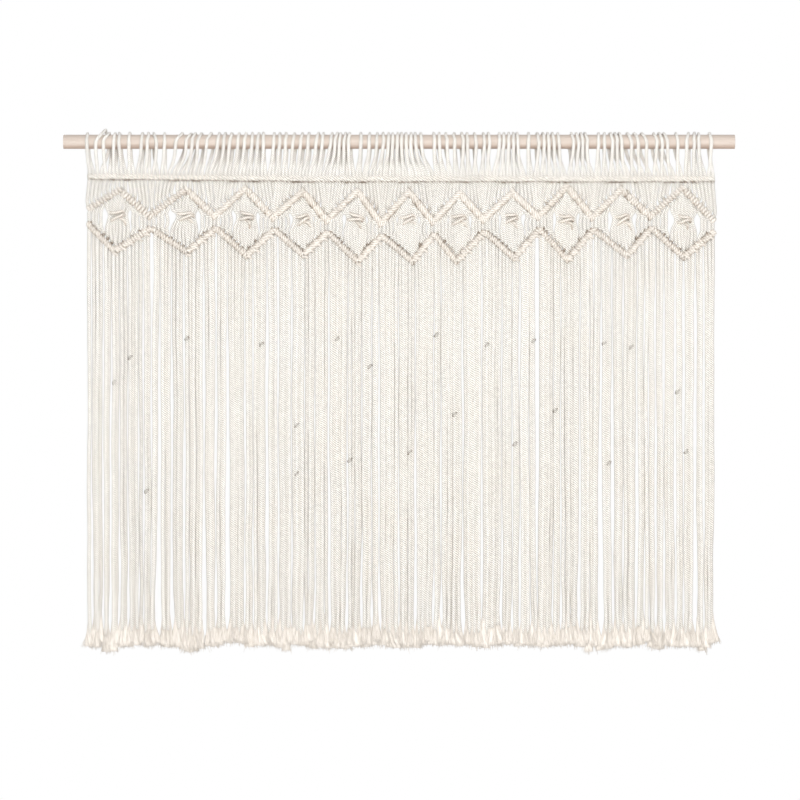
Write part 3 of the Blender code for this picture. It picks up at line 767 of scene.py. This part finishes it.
def makeInnerCords(size):
    # The outer cords of a diamond run down beside its corners; the others draw in to the square knot and out
    # again, and an opening is left between them on either side
    upperZ, lowerZ = rowZ(upperLegs, cordX), rowZ(lowerLegs, cordX)
    upX, upZ = acrossRow(upperLegs, cordX)
    downX, downZ = acrossRow(lowerLegs, cordX)
    knot = np.array([d["knot"] for d in diamonds], float)[diamondOf]
    openings = np.array([d["openings"] for d in diamonds], float)[diamondOf]
    order = cordIndex % cord["inDiamond"]
    right = order >= cord["inDiamond"] // 2
    side = np.where(right, 1, -1)
    edge = np.where(right, cord["inDiamond"] - 1 - order, order)
    corner = np.where(right, cornerX[diamondOf + 1], cornerX[diamondOf])
    opening = np.where(right, openings[:, 1], openings[:, 0])
    room = np.abs(corner - knot[:, 0]) - size["bunchHalf"] - opening
    straight = np.where(room > size["roomForFive"], 5, 4)
    held = edge >= straight
    beside = corner - side * room * (edge + 0.5) / straight
    inward = (cord["inDiamond"] / 2 - 0.5 - edge) / (cord["inDiamond"] / 2 - 0.5 - straight)
    bunched = knot[:, 0] + side * inward * (size["bunchHalf"] - rowCord["radius"])
    gripX = np.where(held, bunched, beside + dice.normal(0, size["wander"], cordCount))
    gripY = np.where(held, dice.uniform(*size["depths"], cordCount), betweenY)
    middle = np.where(held, knot[:, 1], (upperZ + lowerZ) / 2)
    tall = upperZ - lowerZ
    reach = np.minimum(size["gripHalfHeight"], tall * size["gripShare"])
    entry = np.minimum(size["entry"], tall * size["entryShare"])
    sag = np.where(held, *size["sag"])
    stops = [
        (cordX, 1.0 + 0 * cordX, upperZ),  # inside the upper row
        (cordX - upX * 3.0, betweenY * 0.4 + 0.5, upperZ - upZ * 3.0),
        (cordX - upX * entry, betweenY, upperZ - upZ * entry),
        (cordX + (gripX - cordX) * sag, (betweenY + gripY) / 2, (upperZ - entry + middle + reach) / 2),
        (gripX, gripY, middle + reach),  # inside the square knot, or straight down beside it
        (gripX, gripY, middle - reach),
        (cordX + (gripX - cordX) * sag, (betweenY + gripY) / 2, (lowerZ + entry + middle - reach) / 2),
        (cordX + downX * entry * 0.8, betweenY, lowerZ + downZ * entry),
        (cordX + downX * 2.0, betweenY * 0.4 + 0.8, lowerZ + downZ * 2.0),
        (cordX, 1.0 + 0 * cordX, lowerZ),  # inside the lower row
    ]
    paths = throughStops(stops, size["rings"])
    near = np.clip(tall / size["tallFrom"], size["nearest"], 1)[:, None]  # rows are close at the corners
    # painted shade where the cord tucks under either row, and around the square knot
    fromUpper = (upperZ[:, None] - paths[..., 2]) * upZ[:, None] - cordShade["rowEdge"] * near
    lineAt = np.where(downX > 0, *lowerShade["edges"])[:, None] * near
    fromLower = (paths[..., 2] - lowerZ[:, None]) * downZ[:, None] - lineAt
    deepest = dice.uniform(*cordShade["deepest"], (cordCount, 1))
    fromUpper = deepest + (1 - deepest) * np.clip(fromUpper / cordShade["rowOver"], 0, 1)
    most = np.where(downX > 0, *lowerShade["most"])
    fromLower = dice.uniform(lowerShade["least"], most, cordCount)[:, None] + np.clip(fromLower, 0, 1)
    aside, above = paths[..., 0] - knot[:, :1], paths[..., 2] - knot[:, 1:]
    fromKnot = np.hypot(aside / knotShade["halfWidth"], above / knotShade["halfHeight"])
    radius = swollen(size["rings"])
    shade = np.clip(np.minimum(fromUpper, fromLower), 0, cordShade["lightest"])
    shade = shade * np.clip(fromKnot, knotShade["darkest"], 1)
    tubes = tubeSet(paths, radius, (1, 0, 0), openness=shade)
    putPiece("innerCords", [tubes], cotton)


makeInnerCords(innerCords)

squareKnot = {
    "radius": 2.1, "rings": 40, "tilt": 8, "size": (0.88, 1.1), "wander": 0.3, "pinch": 0.8,
    "ends": 1.3, "openTo": 1.35, "rearFrom": 1.13, "rearOver": 0.1,
    "turns": [  # its visible turns, in the knot's own millimetres: (right, forward, up)
        [
            (-6, -5, 8), (-8.5, -1, 6.5), (-8, 3.4, 4), (-3, 5.4, 3.6),
            (2, 5.8, 4.4), (6, 4.8, 4.8), (9, 1.5, 2.5), (7, -4, 0),
        ],
        [
            (-8, -4, -1), (-9, -1, -4), (-7.5, 3.6, -5.2), (-3, 6.2, -3.2),
            (2, 7, -0.6), (6, 5.8, 1), (9, 2, -0.5), (7, -4, -3),
        ],
        [
            (-2, -2, -3), (1, 1, -4), (4, 3.6, -4.6), (6.5, 4.2, -6.2),
            (8, 3.2, -8.6), (9, 1.6, -11.4), (10, 0, -14), (11, -2, -17),
        ],
    ],
}


def makeSquareKnots(size):
    # Each knot's turns are its own: tilted by a few degrees, a little larger or smaller, and uneven
    local = np.array(size["turns"], float) * [1, -1, 1]
    sets = []
    for d in diamonds:
        tilt = math.radians(dice.normal(0, size["tilt"]))
        turned = local * dice.uniform(*size["size"], 3)
        x, z = turned[..., 0].copy(), turned[..., 2].copy()
        turned[..., 0] = x * math.cos(tilt) - z * math.sin(tilt)
        turned[..., 2] = x * math.sin(tilt) + z * math.cos(tilt)
        turned += dice.normal(0, size["wander"], turned.shape) + [d["knot"][0], 0, d["knot"][1]]
        paths = linked(turned, size["rings"])
        past = np.abs(np.linspace(-size["ends"], size["ends"], size["rings"]))
        # painted shade, darkest where a turn tucks behind, and open again at the back
        ends = np.maximum(size["openTo"] - past, (past - size["rearFrom"]) / size["rearOver"])
        shade = np.clip(ends, 0, 1)
        sets.append(tubeSet(paths, size["radius"], (0, 0, 1), openness=shade, pinch=size["pinch"]))
    putPiece("squareKnots", sets, tightCotton)


makeSquareKnots(squareKnot)


# Fringe

heights = np.array([-180.0, -232.0, -352.0, -500.0, -624.0])  # where the open slits' widths are given
# Slits between the loose ends: x, and the width at each of those heights
slits = [
    (-397, 1, 0.5, 0.5, 0.5, 0), (-388, 0, 0, 1.5, 1, 0.5), (-376, 0, 0, 1, 1.3, 4),
    (-365, 0.5, 0.5, 0.5, 1, 2.7), (-345, 1.3, 1.3, 2.7, 1.3, 0), (-331, 5.4, 3, 1, 0.5, 0),
    (-322, 0.5, 1.3, 2.7, 2.7, 5.4), (-306, 0, 0, 2.7, 1.3, 2.7), (-286, 1, 0.5, 1.3, 1.3, 0),
    (-264, 0, 1, 1, 0.5, 1), (-247, 2.7, 1.3, 2.7, 1.3, 1.3), (-230, 0, 0.5, 4, 4, 5.4),
    (-207, 0.5, 0.5, 2.7, 0.5, 0), (-198, 1.3, 1.3, 1.3, 0.5, 0), (-177, 1.3, 2.7, 2.7, 4, 0),
    (-164, 2.7, 2.7, 1.3, 1.3, 1.3), (-145, 1.3, 1.3, 0, 0, 0), (-128, 1.3, 1.3, 0, 0, 0),
    (-112, 0, 0, 0, 1.3, 1.3), (-94, 0, 1.3, 1.3, 2.7, 2), (-65, 0, 0, 1.3, 0, 0.5),
    (-48, 1.3, 0.5, 1.3, 1.3, 2.7), (-38, 0, 1.3, 1.3, 0.5, 2.7), (-28, 0, 1.3, 1.3, 1.3, 2.7),
    (-3, 0, 0, 1.3, 1.3, 1.3), (19, 0, 1.3, 0, 2.7, 2.7), (55, 0, 0, 0, 0, 1.3),
    (137, 0, 0, 0, 0, 1.3), (154, 0.5, 1.3, 0, 1.3, 1.3), (162, 1.3, 2.7, 0.5, 0.5, 2.7),
    (186, 5.4, 5.4, 6.5, 2, 0), (215, 0, 0, 0, 0, 1.3), (243, 0, 0, 0, 1.3, 0.5),
    (259, 2.7, 1.3, 1.3, 0, 0), (269, 1.3, 2.7, 2.7, 7, 7), (283, 1.3, 1.3, 2.7, 2.7, 1.3),
    (301, 1.3, 0, 0.5, 0.5, 0), (318, 0.5, 0.5, 1.3, 2.7, 1.3), (331, 1.3, 2.7, 0.5, 0.5, 3.5),
    (343, 0.5, 2.7, 2.7, 2.7, 1.3), (353, 1.3, 2.7, 2.7, 1.3, 2), (369, 2.7, 4, 3, 4, 0.5),
    (380, 2.7, 5, 3, 0.5, 0), (396, 1.3, 2.7, 5.4, 2.7, 6.5), (408, 1.3, 2.7, 2.7, 0.5, 0),
]
fringe = {
    "rings": 72, "radius": 2.5, "thickness": 0.05, "reach": 11.0, "untwistZ": -646.0, "endZ": -656.0,
    "split": 0.17, "gather": 0.12, "gatherFrom": -430.0, "gatherPower": 2.2, "bunch": 0.12, "settle": 60,
    "slip": 0.3, "slipPower": 1.6, "slipFrom": -250, "slipOver": 330, "uneven": 0.2,
    "bunchSway": (0.8, 330), "lowSway": (1.3, 150), "strandSway": (0.3, 240), "depthSway": (0.3, 260),
    "aboveRow": 1.0, "apart": 0.3, "depthVaries": 0.25, "slipBack": 1.6, "overRow": 2.4, "overFades": 30,
    "tuck": 2.5, "tuckY": 0.8, "opened": 1.2, "swells": 0.2, "thins": 0.75, "thinnest": 0.8,
}
# painted shade on the loose ends: under the hugging row, and over the whole strand, more on the rear ones;
# both darker towards the bottom from lowFrom down
fringeShade = {  # in pairs for the rear and the front strands; both darken a little more from lowFrom down
    "edge": 3.2, "over": 2.5, "darkest": 0.75, "all": (0.2, 0.08), "low": (0.14, 0.06), "lowFrom": -260,
    "lowOver": 380,
}
hem = {"uneven": 3.0, "wave": 2.5, "waveTurn": 0.31}
swayWaves = ((0.6, 1.0), (0.3, 0.53), (0.1, 0.21))  # the share of each slow sine, and its length

# A bunch is what hangs between two slits, and some of them part once more
groupOf = np.searchsorted([place for place, *_ in slits], cordX)
groupOf = groupOf + np.cumsum(dice.random(cordCount) < fringe["split"])
groupX = (np.bincount(groupOf, cordX) / np.maximum(np.bincount(groupOf), 1))[groupOf]


def slitShift(x, z):  # beside a slit each end moves half the slit's width away, dying out over `reach`
    shift = np.zeros(np.broadcast(x, z).shape)
    for place, *widths in slits:
        width = np.interp(-z, -heights, widths)
        away = x - place
        shift += np.sign(away) * width / 2 * np.exp(-np.abs(away) / fringe["reach"])
    return shift


def sway(count, z, size, longest):  # three slow sines with their own phases for each strand
    total = 0
    for share, wave in swayWaves:
        phase = dice.uniform(0, 2 * np.pi, (count, 1))
        total = total + share * np.sin(2 * np.pi * z / (longest * wave) + phase)
    return size * total


endDrop = dice.normal(0, hem["uneven"], cordCount) - hem["wave"] * np.sin(cordIndex * hem["waveTurn"])


def makeLooseEnds(size):
    # A strand's place across: its place in the row, moved by the slits, by the bunch it hangs in, by a slow
    # sway, and for a rear strand by how far it has slipped behind the front one beside it
    isRear = cordIndex % 2
    top = rowZ(huggingLegs, cordX) + size["aboveRow"]
    share = np.linspace(0, 1, size["rings"])[None]
    z = top[:, None] + (size["endZ"] + endDrop - top)[:, None] * share
    x = cordX[:, None] + slitShift(cordX[:, None], z)
    beside = np.clip(cordIndex + dice.choice([-1, 1], cordCount), 0, cordCount - 1)
    slips = np.where(isRear, dice.uniform(0, 1, cordCount) ** size["slipPower"], 0) * size["slip"]
    slipped = slips[:, None] * np.clip((size["slipFrom"] - z) / size["slipOver"], 0, 1)
    x = x + np.where(groupOf[beside] == groupOf, cordX[beside] - cordX, 0)[:, None] * slipped
    near = (size["gatherFrom"] - z) / (size["gatherFrom"] - size["endZ"])  # to its bunch, low down
    near = np.clip(near, 0, 1) ** size["gatherPower"]
    fade = np.clip((top[:, None] - z) / size["settle"], 0, 1)
    x = x + (groupX - cordX)[:, None] * (size["gather"] * near + size["bunch"] * fade)
    together = sway(groupOf[-1] + 1, z[:1], *size["bunchSway"])[groupOf]  # a bunch sways as one
    x = x + sway(cordCount, z, *size["lowSway"]) * near
    own = together + sway(cordCount, z, *size["strandSway"]) + dice.normal(0, size["uneven"], (cordCount, 1))
    x = x + own * fade
    rearward = np.sign(layerY)
    depth = rearward * size["apart"] + dice.normal(0, size["depthVaries"], cordCount)
    toFlat = depth[:, None] + size["slipBack"] * slipped + rearward[:, None] * near - layerY[:, None]
    y = layerY[:, None] + toFlat * fade
    forward = size["overRow"] * np.exp((z - top[:, None]) / size["overFades"])  # they leave over the row
    y = y + sway(cordCount, z, *size["depthSway"]) * fade - forward
    tucked = np.clip((z - (top[:, None] - size["tuck"])) / size["tuck"], 0, 1)  # and start inside it
    y = y * (1 - tucked) + tucked * size["tuckY"]
    paths = np.stack([x, y, z], -1)
    opened = np.clip((size["untwistZ"] - z) / (size["untwistZ"] - size["endZ"]), 0, size["opened"])
    radius = size["radius"] * (1 + dice.normal(0, size["thickness"], (cordCount, 1)))
    radius = radius * (1 + size["swells"] * opened - size["thins"] * opened**3)
    radius = np.clip(radius, size["thinnest"], None)  # it swells as it untwists, then thins in its tuft
    dark = fringeShade
    # painted shade under the hugging row and on the rear strands, and darker towards the bottom
    shade = np.clip((top[:, None] - z - dark["edge"]) / dark["over"], dark["darkest"], 1)
    shade = shade - np.where(isRear, *dark["all"])[:, None]
    low = np.clip((dark["lowFrom"] - z) / dark["lowOver"], 0, 1)
    shade = shade - np.where(isRear, *dark["low"])[:, None] * low
    for name, chosen, nodes in (
        ("looseEndsFront", slice(0, None, 2), ["fringe"]),
        ("looseEndsRear", slice(1, None, 2), []),
    ):
        tubes = tubeSet(paths[chosen], radius[chosen], (1, 0, 0), openness=shade[chosen])
        putPiece(name, [tubes], cotton, *nodes)
    return paths


endPaths = makeLooseEnds(fringe)


# Frayed ends

tufts = {
    "rings": 9, "sides": 10, "startZ": -638.0, "startFollows": 0.6, "startVaries": 5.0, "bunchStart": 2.5,
    "cutZ": -675.0, "cutFollows": 0.5, "cutVaries": 1.4, "bunchCut": 1.6,
    "flare": 2.5, "flarePower": 1.4, "deep": 0.36, "part": 0.95, "aside": 1.0, "lean": 1.8, "bow": 1.5,
    "width": (0.9, 1.1), "level": 0.8, "cutShade": (1.35, 0.4), "rootShade": (0.55, 1.6), "darkest": 0.5,
}
fibre = {
    "each": 26, "rings": 6, "sides": 3, "radius": 0.38, "width": (0.75, 1.25), "twist": 1.6,
    "above": 4.0, "inside": 1.0, "uneven": 1.2, "spread": (2.6, 1.0), "curl": (0.6, 24), "curlSpan": 30,
    "strays": 0.08, "farther": 1.6, "longer": 3.0, "tones": (0.35, 0.65), "thick": 1.1, "taper": 0.3,
}


def makeTufts(size):
    # Each end opens into a brush that widens to its cut: radius = cord * (1 + (flare - 1) * s^1.4), and leans
    # away from the middle of its bunch; s runs from 0 to 1 down the brush
    bunchCount = groupOf[-1] + 1
    s = np.linspace(0, 1, size["rings"])[None]
    start = size["startZ"] + size["startFollows"] * endDrop + dice.normal(0, size["startVaries"], cordCount)
    start += dice.normal(0, size["bunchStart"], bunchCount)[groupOf]
    cut = size["cutZ"] + size["cutFollows"] * endDrop + dice.normal(0, size["cutVaries"], cordCount)
    ring = (endPaths[:, :, 2] > start[:, None]).sum(1).clip(1, endPaths.shape[1] - 1)
    base = endPaths[cordIndex, ring]
    aside = (cordX - base[:, 0]) * size["part"] + dice.normal(0, size["aside"], cordCount)
    aside += dice.normal(0, size["lean"], bunchCount)[groupOf]
    cut = cut + dice.normal(0, size["bunchCut"], bunchCount)[groupOf]
    x = base[:, :1] + aside[:, None] * s ** size["bow"]
    y = base[:, 1:2] * (1 - size["level"] * s)  # the brushes come level with each other
    z = start[:, None] + (cut - start)[:, None] * s
    paths = np.stack([x, y, z], -1)
    flare = 1 + (size["flare"] - 1) * s ** size["flarePower"]
    radius = fringe["radius"] * flare * dice.uniform(*size["width"], (cordCount, 1))
    # painted shade: greyer at the brush's root and towards its cut end
    (cutAt, cutOver), (rootAt, rootOpens) = size["cutShade"], size["rootShade"]
    shade = np.clip(np.minimum((cutAt - s) / cutOver, rootAt + rootOpens * s), size["darkest"], 1)
    brushes = tubeSet(paths, radius, (1, 0, 0), sides=size["sides"], openness=shade)
    brushes["points"][:, 1] *= size["deep"]

    owner = np.repeat(cordIndex, fibre["each"])
    count = len(owner)
    along = np.linspace(0, 1, fibre["rings"])[None]
    angle = dice.uniform(0, 2 * np.pi, (count, 1))
    angle = angle + dice.normal(fibre["twist"], fibre["twist"], cordCount)[owner, None] * along
    reach = fringe["radius"] * (1.0 + (size["flare"] - 1) * along ** size["flarePower"])
    curl = sway(count, along * fibre["curlSpan"], *fibre["curl"]) * along
    splay = dice.normal(0, 1, (count, 2)) * fibre["spread"]
    stray = dice.random(count) < fibre["strays"]
    splay[stray] *= fibre["farther"]
    last = cut[owner] - fibre["inside"] + dice.normal(0, fibre["uneven"], count) - fibre["longer"] * stray
    middleX = base[owner, :1] + aside[owner, None] * along ** size["bow"]
    middleY = base[owner, 1:2] * (1 - size["level"] * along)
    fibreX = middleX + np.cos(angle) * reach + splay[:, :1] * along**2 + curl
    fibreY = middleY + np.sin(angle) * reach * size["deep"] + splay[:, 1:] * along**2
    first = start[owner] - fibre["above"]
    fibreZ = first[:, None] + (last - first)[:, None] * along
    fibrePaths = np.stack([fibreX, fibreY, fibreZ], -1)
    thick = fibre["radius"] * (fibre["thick"] - fibre["taper"] * along)
    thick = thick * dice.uniform(*fibre["width"], (count, 1))
    ofCord, ofFibre = fibre["tones"]
    tone = ofCord * dice.uniform(0, 1, cordCount)[owner] + ofFibre * dice.uniform(0, 1, count)
    fibres = tubeSet(fibrePaths, thick, (1, 0, 0), sides=fibre["sides"], tone=tone)
    putPiece("frayedTufts", [brushes, fibres], frayedCotton)


makeTufts(tufts)


# Small knots on the fringe

smallKnots = [
    (-385, -322), (-365, -289), (-343, -468), (-283, -264), (-187, -271), (-142, -380), (-138, -445),
    (-79, -264), (-69, -427), (-40, -301), (11, -416), (45, -259), (76, -365), (114, -272), (154, -405),
    (178, -267), (214, -360), (275, -270), (284, -431), (315, -275), (379, -335), (385, -416),
]
overhand = {
    "radius": 1.5, "rings": 42, "wide": 2.2, "deep": 3.6, "rise": 4.0, "lean": 1.3, "turns": 1.75,
    # tone darkens the whole knot, and edge and opens darken its sides where its turns tuck round the strand:
    # all painted shade
    "ends": 0.4, "tone": [-1.1], "edge": -0.7, "opens": 1.5, "pinch": 0.9,
}


def makeSmallKnots(size):
    # An overhand knot's turns: a short slanting helix round the strand, (wide sin, deep cos, rise) with a
    # lean, that starts and ends at the strand's middle
    share = np.linspace(0, 1, size["rings"])
    a = 2 * np.pi * size["turns"] * share
    swell = np.sin(np.pi * share) ** size["ends"]
    front = endPaths[0::2]
    sets = []
    for x, z in smallKnots:
        ring = np.abs(front[..., 2] - z).argmin(1)
        here = front[np.arange(len(front)), ring]
        on = here[np.abs(here[:, 0] - x).argmin()]
        start = dice.uniform(0, 2 * np.pi)
        path = np.stack([
            on[0] + np.sin(a + start) * size["wide"] * swell,
            on[1] - np.cos(a + start) * size["deep"] * swell,
            z + size["rise"] * (0.5 - share) + np.sin(a + start) * size["lean"],
        ], 1)[None]
        # painted shade at the sides of each turn
        shade = np.clip(size["opens"] * np.abs(np.cos(a + start)) + size["edge"], 0, 1)
        sets.append(tubeSet(path, size["radius"], (0, 0, 1), size["tone"], shade, size["pinch"]))
    putPiece("smallKnots", sets, cotton)


makeSmallKnots(overhand)


# Camera, floor and light

photo = {"width": 1072.6, "x": 1.14, "z": -346.2, "lens": 200.0, "sensor": 36.0}
cameraData = bpy.data.cameras.new("camera")
cameraData.lens, cameraData.sensor_width = photo["lens"], photo["sensor"]
camera = bpy.data.objects.new("camera", cameraData)
camera.location = (photo["x"] * mm, -photo["width"] * mm * photo["lens"] / photo["sensor"], photo["z"] * mm)
camera.rotation_euler = (math.pi / 2, 0, 0)
bpy.context.scene.collection.objects.link(camera)
bpy.context.scene.camera = camera

# The room, in metres: a white world that lights less than it shows, a pale floor, and three square lamps
stage = {
    "floor": {"z": -1.12, "x": (-3.0, 3.0), "y": (-3.0, 1.6), "shades": ("F1EFEC", "F4F2EF"), "matt": 0.8},
    "world": {"seen": 1.0, "light": 0.6, "rise": 0.08},
    "lamps": [
        {"name": "key", "place": (0.35, -4.1, 0.05), "power": 131.0, "wide": 1.0},
        {"name": "fill", "place": (-2.2, -2.4, 0.2), "power": 4.0, "wide": 2.2},
        {"name": "back", "place": (-0.8, 3.6, 0.6), "power": 60.0, "wide": 1.6},
    ],
    "aim": (0, 0, -0.3),
}


def makeFloor(size):  # one flat, pale sheet well below the hanging
    (left, right), (near, far) = size["x"], size["y"]
    mesh = bpy.data.meshes.new("floor")
    places = [(x, y, size["z"]) for x, y in ((left, near), (right, near), (right, far), (left, far))]
    mesh.from_pydata(places, [], [(0, 1, 2, 3)])
    material, tree, shader = newMaterial("paintedFloor")
    grain = addNode(tree, "ShaderNodeTexNoise", values={"Scale": 3.0}).outputs["Fac"]
    paint = shades(tree, grain, list(zip((0.0, 1.0), size["shades"])))
    tree.links.new(paint, shader.inputs["Base Color"])
    shader.inputs["Roughness"].default_value = size["matt"]
    mesh.materials.append(material)
    floor = bpy.data.objects.new("floor", mesh)
    bpy.context.scene.collection.objects.link(floor)


def makeWorld(size):
    # The camera sees the world at one strength, and it lights the hanging with another: light + rise * up
    world = bpy.data.worlds.new("studio")
    bpy.context.scene.world = world
    world.use_nodes = True
    tree = world.node_tree
    seen = addNode(tree, "ShaderNodeLightPath").outputs["Is Camera Ray"]
    direction = addNode(tree, "ShaderNodeTexCoord").outputs["Generated"]
    upward = addNode(tree, "ShaderNodeSeparateXYZ", links={"Vector": direction}).outputs["Z"]
    sky = maths(tree, "MULTIPLY_ADD", upward, size["rise"], size["light"])
    level = addNode(tree, "ShaderNodeMix", values={3: size["seen"]}, links={0: seen, 2: sky}).outputs[0]
    background = tree.nodes["Background"]
    background.inputs["Color"].default_value = (1, 1, 1, 1)
    tree.links.new(level, background.inputs["Strength"])


def makeLamp(name, place, power, wide):  # a square lamp that faces the hanging
    lamp = bpy.data.lights.new(name, "AREA")
    lamp.energy, lamp.size = power, wide
    lit = bpy.data.objects.new(name, lamp)
    lit.location = place
    aim = Vector(stage["aim"]) - Vector(place)
    lit.rotation_euler = aim.to_track_quat("-Z", "Y").to_euler()
    bpy.context.scene.collection.objects.link(lit)


makeFloor(stage["floor"])
makeWorld(stage["world"])
for lampSize in stage["lamps"]:
    makeLamp(**lampSize)
bpy.context.scene.view_settings.view_transform = "Standard"
print("stage set")
